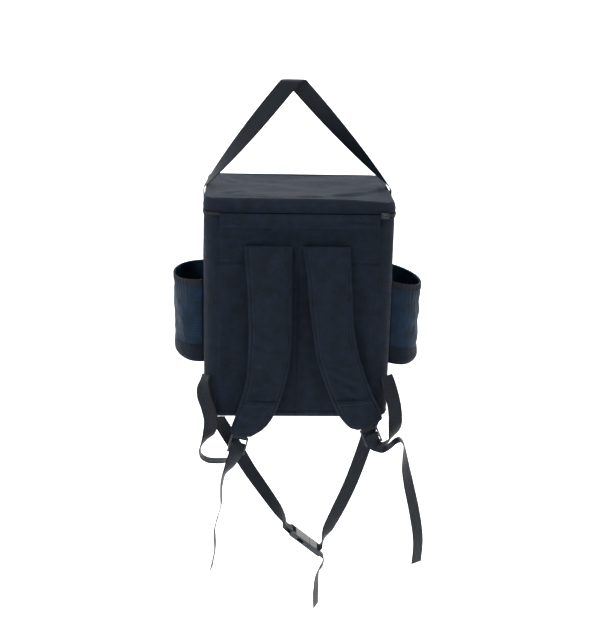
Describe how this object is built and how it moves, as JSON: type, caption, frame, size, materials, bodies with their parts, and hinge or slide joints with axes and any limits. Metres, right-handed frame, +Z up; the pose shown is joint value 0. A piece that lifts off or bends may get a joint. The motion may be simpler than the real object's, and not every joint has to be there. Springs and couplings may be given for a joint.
{
  "type": "insulated delivery backpack",
  "caption": "Boxy insulated backpack hanging by its carry strap, with a zipped lid, mesh side pockets, padded shoulder straps and a fastened waist belt.",
  "frame": {"origin": "underside of the fold at the top of the carry strap, where the bar or hook that holds the bag goes; the bag hangs below it", "axes": "+Z up, +X along the bag's width, to the right when its shoulder straps are seen, +Y away from the wearer's side"},
  "size_m": [0.4636, 0.3021, 0.9687],
  "materials": {
    "woven": "dark navy woven polyester over foam, matt",
    "mesh": "fine dark blue knitted mesh",
    "webbing": "ribbed polyester webbing, matt",
    "plastic": "moulded black acetal, soft gloss",
    "zinc": "black painted zinc"
  },
  "bodies": {
    "root": {"body": "woven", "lid": "woven", "hinge_band": "woven", "pocket_foot_left": "woven", "pocket_foot_right": "woven", "pocket_rim_left": "woven", "pocket_rim_right": "woven", "pad_left": "woven", "pad_right": "woven", "pad_patch_left": "woven", "pad_patch_right": "woven", "pocket_left": "mesh", "pocket_right": "mesh", "zip": "webbing", "lock_loop_left": "webbing", "lock_loop_right": "webbing", "web_left": "webbing", "web_right": "webbing", "belt_left": "webbing", "belt_right": "webbing", "carry_strap": "webbing", "lock_left": "plastic", "lock_right": "plastic", "buckle_female": "plastic", "buckle_male": "plastic", "zip_slider": "zinc"}
  },
  "joints": []
}
